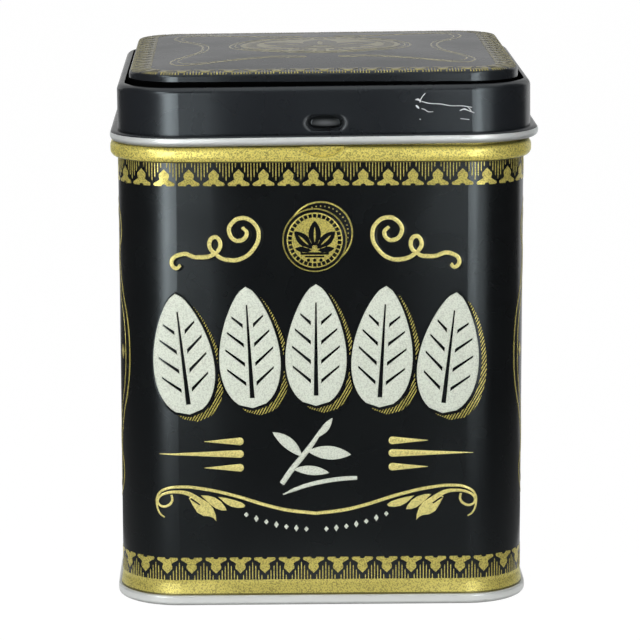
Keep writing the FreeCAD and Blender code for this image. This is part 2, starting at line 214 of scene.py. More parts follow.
def stroke(points, rise=0.3, closed=False, smooth=True, sides=4):
    """A stroke through points of (u, v, half width), pressed flat until it stands rise high."""
    data = bpy.data.curves.new("stroke", "CURVE")
    data.dimensions = "3D"
    data.resolution_u = 10
    data.bevel_depth = 1.0
    data.bevel_resolution = sides - 2
    data.use_fill_caps = not closed
    spline = data.splines.new("BEZIER")
    spline.bezier_points.add(len(points) - 1)
    for point, (u, v, half_width) in zip(spline.bezier_points, points):
        point.co = (u, v, 0)
        point.radius = half_width
        kind = "AUTO" if smooth else "VECTOR"
        point.handle_left_type = kind
        point.handle_right_type = kind
    spline.use_cyclic_u = closed
    widest = max(half_width for _, _, half_width in points)
    mesh = mesh_of(data)
    for vert in mesh.vertices:
        vert.co.z = vert.co.z * rise / widest
    return mesh


def piece(name, meshes, place, material):
    """Joins drawings into one piece, bends it into place and lets it ride with the tin."""
    bm = bmesh.new()
    for mesh in meshes:
        bm.from_mesh(mesh)
        bpy.data.meshes.remove(mesh)
    bmesh.ops.remove_doubles(bm, verts=bm.verts[:], dist=1e-4)
    if place in cuts:
        cuts[place](bm)
    for vert in bm.verts:
        vert.co = place(*vert.co) * MM
    bmesh.ops.recalc_face_normals(bm, faces=bm.faces[:])
    mesh = mesh_from(bm, name)
    mesh.shade_smooth()
    mesh.set_sharp_from_angle(angle=math.radians(35))
    mesh.materials.append(material)
    made = add_object(name, mesh)
    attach(made, "root")
    print(f"{name}: {len(mesh.polygons)} faces")
    return made


def circle(u, v, radius, count=48):
    """The outline of a circle."""
    turns = [2 * math.pi * step / count for step in range(count)]
    return [(u + radius * math.cos(turn), v + radius * math.sin(turn)) for turn in turns]


def lozenge(u, v, wide, tall):
    """The outline of a lozenge that reaches wide and tall from its middle."""
    return [(u - wide, v), (u, v - tall), (u + wide, v), (u, v + tall)]


def blade(start, end, left, right, steps=12, fullness=0.8):
    """The outline of a leaf between two points that swells left and right of the line between them."""
    along = Vector((end[0] - start[0], end[1] - start[1]))
    across = Vector((-along.y, along.x)).normalized()
    outline = []
    for bulge, order in ((left, range(steps + 1)), (-right, range(steps - 1, 0, -1))):
        for step in order:
            share = step / steps
            spot = Vector(start) + along * share + across * bulge * math.sin(math.pi * share) ** fullness
            outline.append((spot.x, spot.y))
    return outline


def moved(points, u, v=0.0):
    """The same points, moved sideways and up."""
    return [(point[0] + u, point[1] + v, *point[2:]) for point in points]


def mirrored(points):
    """The same points with left and right swapped, still in the same turning order."""
    return [(-point[0], *point[1:]) for point in reversed(points)]


def both_sides(points):
    return points, mirrored(points)


# %% [markdown]
# ## Node helpers
# A material is a small tree of nodes. These helpers add a node and link it, so that each finish below reads as a
# recipe. Patterns read Object coordinates, which are metres here, so a scale of 5000 gives grains of a fifth of a
# millimetre.

# %% Node helpers


def new_material(name):
    material = bpy.data.materials.new(name)
    material.use_nodes = True
    tree = material.node_tree
    shader = next(node for node in tree.nodes if node.type == "BSDF_PRINCIPLED")
    return material, tree, shader


def dress(tree, node, inputs):
    """Gives each named input of a node a plain value, or links it to another node's output."""
    for key, source in inputs.items():
        if isinstance(source, bpy.types.NodeSocket):
            tree.links.new(source, node.inputs[key])
        else:
            node.inputs[key].default_value = source


def add_node(tree, kind, inputs=None, **settings):
    node = tree.nodes.new(kind)
    for key, setting in settings.items():
        setattr(node, key, setting)
    dress(tree, node, inputs or {})
    return node


def math_node(tree, operation, first, second=0.0, third=0.0, clamp=False):
    inputs = {0: first, 1: second, 2: third}
    return add_node(tree, "ShaderNodeMath", inputs, operation=operation, use_clamp=clamp).outputs[0]


def vector_node(tree, operation, first, second=(0.0, 0.0, 0.0), output="Vector"):
    return add_node(tree, "ShaderNodeVectorMath", {0: first, 1: second}, operation=operation).outputs[output]


def length_of(tree, vector):
    return vector_node(tree, "LENGTH", vector, output="Value")


def axis_of(tree, vector, axis):
    return add_node(tree, "ShaderNodeSeparateXYZ", {0: vector}).outputs[axis]


def ramp(tree, value, start, end, first=0.0, last=1.0):
    """Goes from first to last while the value goes from start to end, and stays level outside."""
    inputs = {0: value, 1: start, 2: end, 3: first, 4: last}
    return add_node(tree, "ShaderNodeMapRange", inputs).outputs[0]


def mix_colour(tree, factor, first, second):
    return add_node(tree, "ShaderNodeMix", {0: factor, 6: first, 7: second}, data_type="RGBA").outputs[2]


def mix_value(tree, factor, first, second):
    return add_node(tree, "ShaderNodeMix", {0: factor, 2: first, 3: second}, data_type="FLOAT").outputs[0]


def exit_of(tree):
    return next(node for node in tree.nodes if node.type == "OUTPUT_MATERIAL").inputs["Surface"]


def new_group(name, sockets_in, sockets_out):
    """A shader node group with named inputs and outputs."""
    group = bpy.data.node_groups.new(name, "ShaderNodeTree")
    for label, kind, default in sockets_in:
        socket = group.interface.new_socket(label, in_out="INPUT", socket_type=kind)
        if default is not None:
            socket.default_value = default
    for label, kind in sockets_out:
        group.interface.new_socket(label, in_out="OUTPUT", socket_type=kind)
    entry = group.nodes.new("NodeGroupInput")
    leave = group.nodes.new("NodeGroupOutput")
    return group, entry, leave


# %% [markdown]
# ## Shared effects
# Two effects are used by several finishes, so each is a node group. Ink speckle is the fine dark grain of printed
# gold and cream: two sizes of noise, made hard by a ramp of values. Handling is the slow unevenness of a sheet that
# has been rolled, lacquered and touched: it varies the gloss and bends the reflections very slightly. It can also bow
# the walls: a flat wall of thin sheet bulges a little, and so its reflections stretch out from the corners.

# %% Ink speckle and handling

FLOAT = "NodeSocketFloat"
VECTOR = "NodeSocketVector"


def make_ink_speckle():
    group, entry, leave = new_group(
        "InkSpeckle",
        [("Vector", VECTOR, None), ("Scale", FLOAT, 6000.0), ("Amount", FLOAT, 0.5)],
        [("Mask", FLOAT)],
    )
    place, scale, amount = entry.outputs[:3]
    fine = add_node(group, "ShaderNodeTexNoise", {"Vector": place, "Scale": scale, "Detail": 2.0})
    half_scale = math_node(group, "MULTIPLY", scale, 0.55)
    coarse = add_node(group, "ShaderNodeTexNoise", {"Vector": place, "Scale": half_scale, "Detail": 1.0})
    both = math_node(group, "MULTIPLY", fine.outputs[0], coarse.outputs[0])
    grain = math_node(group, "SUBTRACT", 1.0, ramp(group, both, 0.17, 0.27))
    group.links.new(math_node(group, "MULTIPLY", grain, amount), leave.inputs[0])
    return group


# Where the bow of a wall starts, is full and ends, in metres from the wall's middle, and how steeply it leans.
BOW_START = 0.010
BOW_FULL = 0.0205
BOW_END = 0.034
BOW_SLOPE = 0.185


def make_bow(group, place):
    """The height of a wall that bulges: flat in its middle, leaning back near its corners, level again beyond."""
    turned = vector_node(group, "ABSOLUTE", place)
    reach = math_node(group, "MINIMUM", axis_of(group, turned, "X"), axis_of(group, turned, "Y"))
    corner = FLAT_HALF * MM
    rising, leaning, fading = (
        ramp(group, reach, start, end)
        for start, end in ((BOW_START, BOW_FULL), (BOW_FULL, corner), (corner, BOW_END))
    )
    squared = math_node(group, "MULTIPLY", rising, rising)
    first = math_node(group, "MULTIPLY", squared, -BOW_SLOPE * (BOW_FULL - BOW_START) / 2)
    second = math_node(group, "MULTIPLY_ADD", leaning, -BOW_SLOPE * (corner - BOW_FULL), first)
    rest = math_node(group, "MULTIPLY_ADD", math_node(group, "MULTIPLY", fading, fading), -0.5, fading)
    return math_node(group, "MULTIPLY_ADD", rest, -BOW_SLOPE * (BOW_END - corner), second)


def make_handling():
    group, entry, leave = new_group(
        "Handling",
        [("Vector", VECTOR, None), ("Scale", FLOAT, 120.0), ("Strength", FLOAT, 0.05), ("Bow", FLOAT, 0.0)],
        [("Unevenness", FLOAT), ("Normal", VECTOR)],
    )
    place, scale, strength, bow = entry.outputs[:4]
    height = make_bow(group, place)
    bulge = add_node(group, "ShaderNodeBump", {"Strength": bow, "Distance": 1.0, "Height": height})
    slow = add_node(group, "ShaderNodeTexNoise", {"Vector": place, "Scale": scale, "Detail": 3.0})
    grain = add_node(group, "ShaderNodeTexNoise", {"Vector": place, "Scale": 2200.0, "Detail": 1.0})
    height = math_node(group, "MULTIPLY_ADD", grain.outputs[0], 0.15, slow.outputs[0])
    inputs = {"Strength": strength, "Distance": 0.0002, "Height": height, "Normal": bulge.outputs[0]}
    bump = add_node(group, "ShaderNodeBump", inputs)
    group.links.new(slow.outputs[0], leave.inputs[0])
    group.links.new(bump.outputs[0], leave.inputs[1])
    return group


ink_speckle = make_ink_speckle()
handling = make_handling()
print("shared effects:", ink_speckle.name, handling.name)

# %% [markdown]
# ## Lacquer, gold ink, cream ink and bare tinplate
# The black is a satin lacquer: nearly black, with a soft clear shine. The gold is ink with metal flake in it, so it
# is partly metallic, and grainy. The cream is a flat ink, stippled. The rims that were curled or seamed after
# printing are bare tinplate. The body and the lid each show two of these on one sheet of metal, so their materials
# pick the finish by height.

# %% Finishes

BLACK = (0.0026, 0.0028, 0.0031, 1.0)
GOLD = (0.61, 0.52, 0.125, 1.0)
GOLD_DARK = (0.13, 0.105, 0.03, 1.0)
# GOLD_SHADE is the colour of the painted shade on the gold.
GOLD_SHADE = (0.06, 0.05, 0.012, 1.0)
# The gold of the pressed-up print is painted paler than the flat gold ink: a painted highlight for the light its
# ridges catch.
RAISED_GOLD_PAINTED_LIGHT = (0.83, 0.73, 0.26, 1.0)
RAISED_SHADE = (0.45, 0.38, 0.12, 1.0)
# The bead's gold is painted brighter than the band's: a painted highlight for the light the round bead catches.
BEAD_GOLD_PAINTED_HIGHLIGHT = (0.82, 0.70, 0.17, 1.0)
# VARNISHED_GOLD is gold painted dull for the top of the lid: painted light, for light glancing off the varnish.
VARNISHED_GOLD = (0.52, 0.475, 0.29, 1.0)
# Painted light: the inks on the top of the lid are painted dull and greyish, as light glancing off its varnish makes
# them look.
TOP_GOLD_PAINTED_DULL = (0.27, 0.245, 0.14, 1.0)
TOP_BLACK_PAINTED_GREY = (0.15, 0.14, 0.10, 1.0)
# The lid's black is lighter than the body's: a painted reflection that brightens the lid's wall.
LID_BLACK_PAINTED_SHEEN = (0.0100, 0.0110, 0.0130, 1.0)
SHADE = (0.001, 0.001, 0.001, 1.0)
# The colour of the painted highlights on the catch.
CATCH_PAINTED_HIGHLIGHT = (0.085, 0.088, 0.09, 1.0)
CREAM = (0.61, 0.64, 0.54, 1.0)
CREAM_DARK = (0.36, 0.37, 0.31, 1.0)
TINPLATE = (0.60, 0.61, 0.59, 1.0)
# TIN_SHADE is the painted shade on tinplate that faces the ground.
TIN_SHADE = (0.25, 0.255, 0.245, 1.0)
LACQUER_GLOSS = 0.5
LACQUER_ROUGHNESS = 0.27
LACQUER_SPREAD = 0.12
LACQUER_TINT = (0.86, 0.97, 1.0, 1.0)
GOLD_METAL = 0.42
GOLD_ROUGHNESS = 0.35
TIN_METAL = 0.28
TIN_ROUGHNESS = 0.34
GOLD_SPREAD = 0.15
TIN_SPREAD = 0.2
# How fine the unevenness of each is, and how strongly it bends reflections.
LACQUER_TOUCH = (90.0, 0.06)
GOLD_TOUCH = (160.0, 0.1)
TIN_TOUCH = (250.0, 0.08)
# The inks on the lid change from painted dull to their own colours between these two depths, at its front edge.
DULL_PAINT_START = -32.4
DULL_PAINT_END = -33.4


def object_place(tree):
    return add_node(tree, "ShaderNodeTexCoord").outputs["Object"]


def facing_up(tree):
    """One where the surface faces up, minus one where it faces the ground."""
    return axis_of(tree, add_node(tree, "ShaderNodeTexCoord").outputs["Normal"], "Z")


def speckled(tree, place, scale, amount, bright, dark):
    inputs = {"Vector": place, "Scale": scale, "Amount": amount}
    speckle = add_node(tree, "ShaderNodeGroup", inputs, node_tree=ink_speckle)
    return mix_colour(tree, speckle.outputs["Mask"], bright, dark)


def gold_colour(tree, place, bright=GOLD, dark=GOLD_DARK):
    return speckled(tree, place, 6000.0, 0.65, bright, dark)


# Paler gold for the pressed-up print: a painted highlight.
def raised_colour_painted_light(tree, place):
    return gold_colour(tree, place, RAISED_GOLD_PAINTED_LIGHT, RAISED_SHADE)


def touched(tree, place, scale, strength):
    inputs = {"Vector": place, "Scale": scale, "Strength": strength}
    return add_node(tree, "ShaderNodeGroup", inputs, node_tree=handling)


def uneven(tree, effect, spread, roughness):
    """A roughness that varies by spread about a middle value."""
    return math_node(tree, "MULTIPLY_ADD", effect.outputs["Unevenness"], spread, roughness - spread / 2)


def let_walls_bow(tree, effect):
    """Bows the upright faces only, and more to the left of the middle than to the right."""
    upright = math_node(tree, "LESS_THAN", math_node(tree, "ABSOLUTE", facing_up(tree)), 0.3)
    share = ramp(tree, axis_of(tree, object_place(tree), "X"), -0.01, 0.01, 1.0, 0.4)
    dress(tree, effect, {"Bow": math_node(tree, "MULTIPLY", upright, share)})


def make_sheet(name, colour_of, touch, spread, roughness, others):
    """A finish that shows how the sheet was handled, in its gloss and in its reflections."""
    material, tree, shader = new_material(name)
    place = object_place(tree)
    effect = touched(tree, place, *touch)
    dress(tree, shader, {
        "Base Color": colour_of(tree, place),
        "Roughness": uneven(tree, effect, spread, roughness),
        "Normal": effect.outputs["Normal"],
        **others,
    })
    return material


def varnish(tree, shader, colour):
    """The lid's varnish over an ink: as smooth and as glossy as the lacquer."""
    dress(tree, shader, {
        "Base Color": colour,
        "Roughness": LACQUER_ROUGHNESS,
        "Specular IOR Level": LACQUER_GLOSS,
    })


def make_painted_dull_on_top(name, muted, fresh):
    """Ink under the lid's varnish: painted dull on the top, for the light glancing off it there, and in its own colour
    where it bends to the front.
    """
    material, tree, shader = new_material(name)
    place = object_place(tree)
    bent = ramp(tree, axis_of(tree, place, "Y"), DULL_PAINT_START * MM, DULL_PAINT_END * MM)
    varnish(tree, shader, mix_colour(tree, bent, muted, fresh(tree, place)))
    return material


def make_varnished(name, colour):
    """Ink on the top of the lid, all of it painted dull for the light glancing off the varnish, and darker in random
    patches.
    """
    material, tree, shader = new_material(name)
    effect = touched(tree, object_place(tree), 900.0, 0.1)
    muted = tuple(part * 0.75 for part in colour[:3]) + (1.0,)
    varnish(tree, shader, mix_colour(tree, effect.outputs["Unevenness"], colour, muted))
    return material


def make_cream(name):
    material, tree, shader = new_material(name)
    place = object_place(tree)
    dress(tree, shader, {
        "Base Color": speckled(tree, place, 6500.0, 0.6, CREAM, CREAM_DARK),
        "Normal": touched(tree, place, 300.0, 0.05).outputs["Normal"],
        "Roughness": 0.5,
        "Specular IOR Level": 0.35,
    })
    return material


def tinplate_with_painted_shade(tree, place):
    """Tinplate with painted shade where it turns to the ground."""
    return mix_colour(tree, ramp(tree, facing_up(tree), -0.05, -0.65), TINPLATE, TIN_SHADE)


def two_finishes(name, black_of, mask_of, colour_of, metal, roughness, shade_of=None):
    """Black lacquer that changes to another finish where the mask is one."""
    material, tree, shader = new_material(name)
    place = object_place(tree)
    effect = touched(tree, place, *LACQUER_TOUCH)
    let_walls_bow(tree, effect)
    mask = mask_of(tree, place)
    black = black_of(tree, place)
    gloss = LACQUER_GLOSS
    if shade_of:
        shade = shade_of(tree, place)
        black = mix_colour(tree, shade, black, SHADE)
        gloss = mix_value(tree, shade, LACQUER_GLOSS, 0.0)
    least = mix_value(tree, mask, LACQUER_ROUGHNESS - LACQUER_SPREAD / 2, roughness - LACQUER_SPREAD / 2)
    dress(tree, shader, {
        "Base Color": mix_colour(tree, mask, black, colour_of(tree, place)),
        "Metallic": mix_value(tree, mask, 0.0, metal),
        "Specular IOR Level": gloss,
        "Specular Tint": LACQUER_TINT,
        "Roughness": math_node(tree, "MULTIPLY_ADD", effect.outputs["Unevenness"], LACQUER_SPREAD, least),
        "Normal": effect.outputs["Normal"],
    })
    return material


# %% [markdown]
# The masks below say where on the sheet each finish lies. Each is a small sum of nodes: a height set against a
# level, or a distance from a middle.

# %% Masks on the body and the lid

# How high the painted shade on the gold reaches at the foot, and how wide its band is at the bead, in millimetres.
SEAM_SHADE = 2.25
BEAD_SHADE = 0.2


def shaded_gold(tree, place):
    """Gold with painted shade in the corners where the band meets the bottom seam and the wall meets the bead, and a
    painted highlight on the bead.
    """
    height = axis_of(tree, place, "Z")
    seam = math_node(tree, "LESS_THAN", height, SEAM_SHADE * MM)
    from_bead = math_node(tree, "ABSOLUTE", math_node(tree, "SUBTRACT", height, (BEAD_LEVEL + BEAD_SHADE / 2) * MM))
    bead = math_node(tree, "LESS_THAN", from_bead, BEAD_SHADE * MM)
    # Painted shade near the seam and under the bead.
    shade = math_node(tree, "MULTIPLY", math_node(tree, "ADD", seam, bead, clamp=True), 0.85)
    # The bead is painted brighter: a painted highlight.
    on_bead = math_node(tree, "GREATER_THAN", height, BEAD_LEVEL * MM)
    colour = mix_colour(tree, on_bead, gold_colour(tree, place), gold_colour(tree, place, BEAD_GOLD_PAINTED_HIGHLIGHT))
    return mix_colour(tree, shade, colour, GOLD_SHADE)


def gold_bands(tree, place):
    """One on the band at the foot and on the bead, zero between."""
    height = axis_of(tree, place, "Z")
    low = math_node(tree, "LESS_THAN", height, FOOT_BAND * MM)
    high = math_node(tree, "GREATER_THAN", height, (BEAD_LEVEL - 0.02) * MM)
    return math_node(tree, "ADD", low, high, clamp=True)


def bare_curl(tree, place):
    """One on the lid's curled rim: the height is measured square to the tilted lid."""
    upright = (-math.sin(LID_TILT), 0.0, math.cos(LID_TILT))
    height = vector_node(tree, "DOT_PRODUCT", place, upright, "Value")
    limit = (CURL_TOP + LID_RIM * math.cos(LID_TILT) - LID_SHIFT * math.sin(LID_TILT)) * MM
    return math_node(tree, "LESS_THAN", height, limit)


GROOVE_REACH = 10.1
GROOVE_LEVEL = 11.15


def groove_shade(tree, place):
    """One in the groove at the foot of the raised top, which light hardly reaches."""
    centred = vector_node(tree, "SUBTRACT", place, (LID_SHIFT * MM, 0.0, 0.0))
    core = (FLAT_HALF * MM, FLAT_HALF * MM, 1.0)
    outer = vector_node(tree, "SUBTRACT", vector_node(tree, "ABSOLUTE", centred), core)
    reach = length_of(tree, vector_node(tree, "MAXIMUM", outer))
    inside = math_node(tree, "LESS_THAN", reach, GROOVE_REACH * MM)
    low = math_node(tree, "LESS_THAN", axis_of(tree, place, "Z"), (LID_RIM + GROOVE_LEVEL) * MM)
    return math_node(tree, "MULTIPLY", inside, low)


# The middle of the catch, from the lid's rim, and the ovals that its pill, its hollow and the hollow's edge fill.
CATCH = (0.57, 3.93)
PILL_OVAL = (2.5, 3.0, 0.62)
HOLLOW_OVAL = (3.5, 3.0, 1.5)
EDGE_OVAL = (3.75, 3.0, 2.0)


def plain_black(tree, place):
    return BLACK


def catch_with_painted_light(tree, place):
    """Black lacquer with painted light on the catch: painted shade deep in its hollow, painted highlights on its pill
    and at its two ends.
    """
    middle = (CATCH[0] * MM, -LID_WALL * MM, (LID_RIM + CATCH[1]) * MM)
    offset = vector_node(tree, "SUBTRACT", place, middle)
    pill, hollow, edge = (
        length_of(tree, vector_node(tree, "MULTIPLY", offset, [1 / (half * MM) for half in oval]))
        for oval in (PILL_OVAL, HOLLOW_OVAL, EDGE_OVAL)
    )
    on_edge = math_node(tree, "ABSOLUTE", math_node(tree, "SUBTRACT", edge, 1.0))
    aside = math_node(tree, "ABSOLUTE", axis_of(tree, offset, "X"))
    at_ends = ramp(tree, aside, 2.6 * MM, 3.3 * MM)
    on_edge = math_node(tree, "MULTIPLY", ramp(tree, on_edge, 0.02, 0.12, 0.8, 0.0), at_ends)
    # Painted highlights on the pill and at the hollow's ends, painted shade deep in the hollow.
    painted_highlight = math_node(tree, "ADD", ramp(tree, pill, 0.3, 1.15, 0.9, 0.0), on_edge, clamp=True)
    hollow_painted_shade = mix_colour(tree, ramp(tree, hollow, 0.85, 1.0, 1.0, 0.0), LID_BLACK_PAINTED_SHEEN, SHADE)
    return mix_colour(tree, painted_highlight, hollow_painted_shade, CATCH_PAINTED_HIGHLIGHT)


black_look = {"Specular IOR Level": LACQUER_GLOSS, "Specular Tint": LACQUER_TINT}
lacquer = make_sheet("black_lacquer", plain_black, LACQUER_TOUCH, LACQUER_SPREAD, LACQUER_ROUGHNESS, black_look)
gold = make_sheet("gold_ink", gold_colour, GOLD_TOUCH, GOLD_SPREAD, GOLD_ROUGHNESS, {"Metallic": GOLD_METAL})
varnished_gold = make_varnished("varnished_gold_ink", VARNISHED_GOLD)
raised_gold_painted_light = make_sheet("raised_gold_ink_painted_light", raised_colour_painted_light, GOLD_TOUCH, GOLD_SPREAD, 0.32, {"Metallic": 0.3})
gold_painted_dull_on_top = make_painted_dull_on_top("gold_ink_painted_dull_on_top", TOP_GOLD_PAINTED_DULL, gold_colour)
black_painted_grey_on_top = make_painted_dull_on_top("black_ink_painted_grey_on_top", TOP_BLACK_PAINTED_GREY, plain_black)
cream = make_cream("cream_ink")
tin_look = {"Metallic": TIN_METAL}
tinplate = make_sheet("bare_tinplate", tinplate_with_painted_shade, TIN_TOUCH, TIN_SPREAD, TIN_ROUGHNESS, tin_look)
body_print = two_finishes("body_sheet", plain_black, gold_bands, shaded_gold, GOLD_METAL, GOLD_ROUGHNESS)
lid_print = two_finishes("lid_sheet", catch_with_painted_light, bare_curl, tinplate_with_painted_shade, TIN_METAL, TIN_ROUGHNESS, groove_shade)

# %% Dress the three solids

for node, finish in (("tin_body", body_print), ("tin_lid", lid_print), ("tin_base", tinplate)):
    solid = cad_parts[node]
    solid.data.materials.clear()
    solid.data.materials.append(finish)
    print(node, "wears", finish.name)

# %% [markdown]
# ## The borders
# The border above the foot and under the bead is one unit, repeated sixty-two times round the wall: a three-lobed
# palmette with a fan of upright lines on each side that step down towards it. The upper border is the lower one
# upside down. Thirty-one units make one half, which is bent and then turned half round about the tin's axis.

# %% Borders

HALF_UNITS = 31
PITCH = 2 * QUARTER / HALF_UNITS
LINE_HALF = 0.088
LINE_HEIGHTS = (3.1, 2.45, 1.6, 0.7)


def palmette(u):
    """Half of the palmette is drawn from its point outwards, and the other half is its mirror image."""
    right = [(0.0, 1.2), (0.9, 2.1), (0.95, 2.5), (0.75, 3.05), (1.25, 3.4), (1.85, 3.7), (1.98, 4.0), (1.8, 4.22)]
    right += [(0.5, 4.26), (0.36, 3.98)]
    return moved(right + [(0.0, 3.88)] + mirrored(right[1:]), u)


def border_unit(u):
    """One palmette and the seven lines between it and the next."""
    outlines = [palmette(u)]
    for step in range(-3, 4):
        middle = u + PITCH / 2 + step * (PITCH / 8)
        height = LINE_HEIGHTS[abs(step)]
        outline = [(middle - LINE_HALF, 0.0), (middle + LINE_HALF, 0.0)]
        outline += [(middle + LINE_HALF, height), (middle, height + 0.25), (middle - LINE_HALF, height)]
        outlines.append(outline)
    return outlines


def half_of_border(start, level, upwards):
    """One half of a border; it hangs from its level if upwards is False."""
    outlines = []
    for unit in range(HALF_UNITS):
        for outline in border_unit(start + (unit - HALF_UNITS // 2) * PITCH):
            if upwards:
                outlines.append([(u, level + v) for u, v in outline])
            else:
                outlines.append([(u, level - v) for u, v in reversed(outline)])
    return outlines


def copy_turned(first, name):
    """A copy of a piece, turned half round about the tin's axis in its mesh."""
    mesh = first.data.copy()
    mesh.name = name
    for vert in mesh.vertices:
        vert.co.xy = -vert.co.xy
    made = add_object(name, mesh)
    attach(made, "root")


BORDERS = (("foot_border", -1.71, FOOT_BAND, True), ("bead_border", -1.62, BEAD_LEVEL, False))
for border, middle, level, upwards in BORDERS:
    drawing = shape(half_of_border(middle, level, upwards))
    front = piece(f"{border}_front", [drawing], on_wall, gold)
    copy_turned(front, f"{border}_back")

# %% [markdown]
# ## The scrolls
# A scroll is one long stroke: a spiral, a sweep, a small loop and a hook. Bezier handles set to automatic carry it
# smoothly through a few points. The press that raised it was a little out of line with the print, so the raised
# ridge shows beside the gold as a thin black echo. That echo is the same stroke in lacquer, moved and lower.

# %% Scrolls

SCROLL_HALF = 0.43
ECHO_SHIFT = (0.42, -0.1)
SCROLL = [
    (-13.3, 70.6), (-12.45, 69.45), (-13.95, 68.1), (-15.65, 69.75), (-14.9, 71.6), (-13.05, 72.25), (-11.1, 71.3),
    (-10.3, 69.05), (-11.4, 66.4), (-13.5, 64.8), (-15.9, 64.6), (-18.0, 65.6), (-19.25, 67.65), (-18.2, 68.8),
    (-17.25, 67.45), (-18.5, 65.65), (-21.35, 65.1), (-24.1, 65.7), (-26.1, 64.4), (-25.3, 63.15), (-24.5, 63.7),
]


def scroll_stroke(half_width):
    ends = (0, len(SCROLL) - 1)
    return [(u, v, half_width * (0.75 if index in ends else 1.0)) for index, (u, v) in enumerate(SCROLL)]


scrolls = [stroke(moved(side, PRINT_SHIFT)) for side in both_sides(scroll_stroke(SCROLL_HALF))]
piece("scrolls", scrolls, on_wall, raised_gold_painted_light)
wider = both_sides(scroll_stroke(SCROLL_HALF * 1.05))
echoes = [stroke(moved(side, PRINT_SHIFT + ECHO_SHIFT[0], ECHO_SHIFT[1]), 0.2) for side in wider]
piece("scroll_echoes", echoes, on_wall, lacquer)

# %% [markdown]
# ## The two coins
# Between the scrolls lie two overlapping coins. The one in front is a gold disc inside a thin gold ring. It carries a
# plain crest in black: tea leaves over two bars, three dots and a ring of short dashes. The one behind is black and
# shows only its ring and a few of its dots.

# %% Coins

COIN = (-0.2 + PRINT_SHIFT, 68.2)
BACK_COIN = (0.87 + PRINT_SHIFT, 69.42)
COIN_RADIUS = 5.72
DISC_RADIUS = 5.15


def ring(middle, radius, half_width, rise, count=24):
    """A closed round stroke."""
    points = [(u, v, half_width) for u, v in circle(*middle, radius, count)]
    return stroke(points, rise, closed=True)


def around(middle, radius, turn, offset=0.0):
    """The point at a turn on a circle, moved sideways by an offset."""
    u = middle[0] + radius * math.cos(turn) - offset * math.sin(turn)
    v = middle[1] + radius * math.sin(turn) + offset * math.cos(turn)
    return (u, v)


# How far each leaf of the crest leans, how long it is and how far it swells to each side, as shares of the radius.
CREST_LEAVES = ((0.0, 1.08, 0.22), (0.8, 1.0, 0.2), (-0.8, 1.0, 0.2), (1.45, 0.7, 0.11), (-1.45, 0.7, 0.11))


def crest(middle, radius, rise, dashes=34):
    """Three leaves with slits and two thin ones, over two bars and three dots, in a ring of dashes."""
    foot = (middle[0], middle[1] - 0.38 * radius)
    outlines = []
    for lean, length, swell in CREST_LEAVES:
        turn = math.pi / 2 + lean
        tip = around(foot, length * radius, turn)
        outlines.append(blade(around(foot, 0.12 * radius, turn), tip, swell * radius, swell * radius))
        if swell > 0.15:
            vein = 0.035 * radius
            ends = around(foot, 0.3 * radius, turn), around(foot, 0.8 * length * radius, turn)
            outlines.append(blade(*ends, vein, vein))
    for level, reach, half in ((-0.47, 0.5, 0.045), (-0.58, 0.34, 0.03)):
        low, high = middle[1] + (level - half) * radius, middle[1] + (level + half) * radius
        left, right = middle[0] - reach * radius, middle[0] + reach * radius
        outlines.append([(left, low), (right, low), (right, high), (left, high)])
    for sideways in (-0.22, 0.0, 0.22):
        outlines.append(circle(middle[0] + sideways * radius, middle[1] - 0.71 * radius, 0.06 * radius, 12))
    for index in range(dashes):
        turn = 2 * math.pi * (index + 0.5) / dashes
        half = 0.06 * radius
        inner, outer = 0.81 * radius, 0.94 * radius
        corners = ((inner, -half), (outer, -half), (outer, half), (inner, half))
        outlines.append([around(middle, reach, turn, offset) for reach, offset in corners])
    return shape(outlines, rise=rise)


back_disc = shape([circle(*BACK_COIN, COIN_RADIUS)], rise=0.12, edge=0.08)
piece("coin_behind", [back_disc], on_wall, lacquer)
back_rim = ring(BACK_COIN, COIN_RADIUS, 0.17, 0.25)
dots = [circle(*around(BACK_COIN, 5.0, 2 * math.pi * step / 40), 0.13, 8) for step in range(-2, 17)]
front_rim = ring(COIN, COIN_RADIUS, 0.15, 0.42)
disc = shape([circle(*COIN, DISC_RADIUS)], rise=0.36, edge=0.25)
piece("coins", [back_rim, shape(dots, rise=0.15), front_rim, disc], on_wall, gold)
bed = shape([circle(*COIN, COIN_RADIUS)], rise=0.26, edge=0.15)
piece("coin_relief", [bed, crest(COIN, DISC_RADIUS, 0.375)], on_wall, lacquer)

# %% [markdown]
# ## The large leaves
# The largest print is a row of five upright tea leaves in cream, pressed up from behind, in a slight arch. Each is
# an outline from a formula, with its midrib and side veins left open so that the black shows. Behind each lies a
# drop shadow of fine gold hatching, parted from the leaf by a thin black line.

# %% Leaf outlines

LEAF_COUNT = 5
LEAF_PITCH = 11.95
LEAF_WIDTH = 11.2
LEAF_HEIGHT = 22.6
LEAF_FOOT = 37.5
LEAF_ARCH = 1.5
LEAF_LEAN = math.radians(3.2)
SHADOW_SHIFT = (1.45, -1.25)
SHADOW_GAP = 0.45


def leaf_outline(grow=0.0, steps=30):
    """A broad leaf standing on its foot: full below the middle and pointed at the top."""
    half = LEAF_WIDTH / 2 + grow
    height = LEAF_HEIGHT + 2 * grow
    right = []
    for step in range(steps + 1):
        share = step / steps
        width = half * math.sin(math.pi * share**0.72) ** 0.62
        right.append((width, -grow + height * share))
    return right + mirrored(right[1:-1])


def leaf_veins():
    """The midrib and four pairs of side veins, as slits inside the outline."""
    slits = [[(-0.42, 1.9), (0.42, 1.9), (0.12, 19.2), (-0.12, 19.2)]]
    for level, reach in ((4.2, 3.3), (7.8, 3.4), (11.4, 2.9), (15.0, 1.9)):
        tip, top = reach + 0.95, level + reach * 0.8
        right = [(0.95, level), (0.95, level + 0.75), (tip, top + 0.75), (tip, top + 0.35)]
        slits.append(right[::-1])
        slits.append([(-x, y) for x, y in right])
    return slits


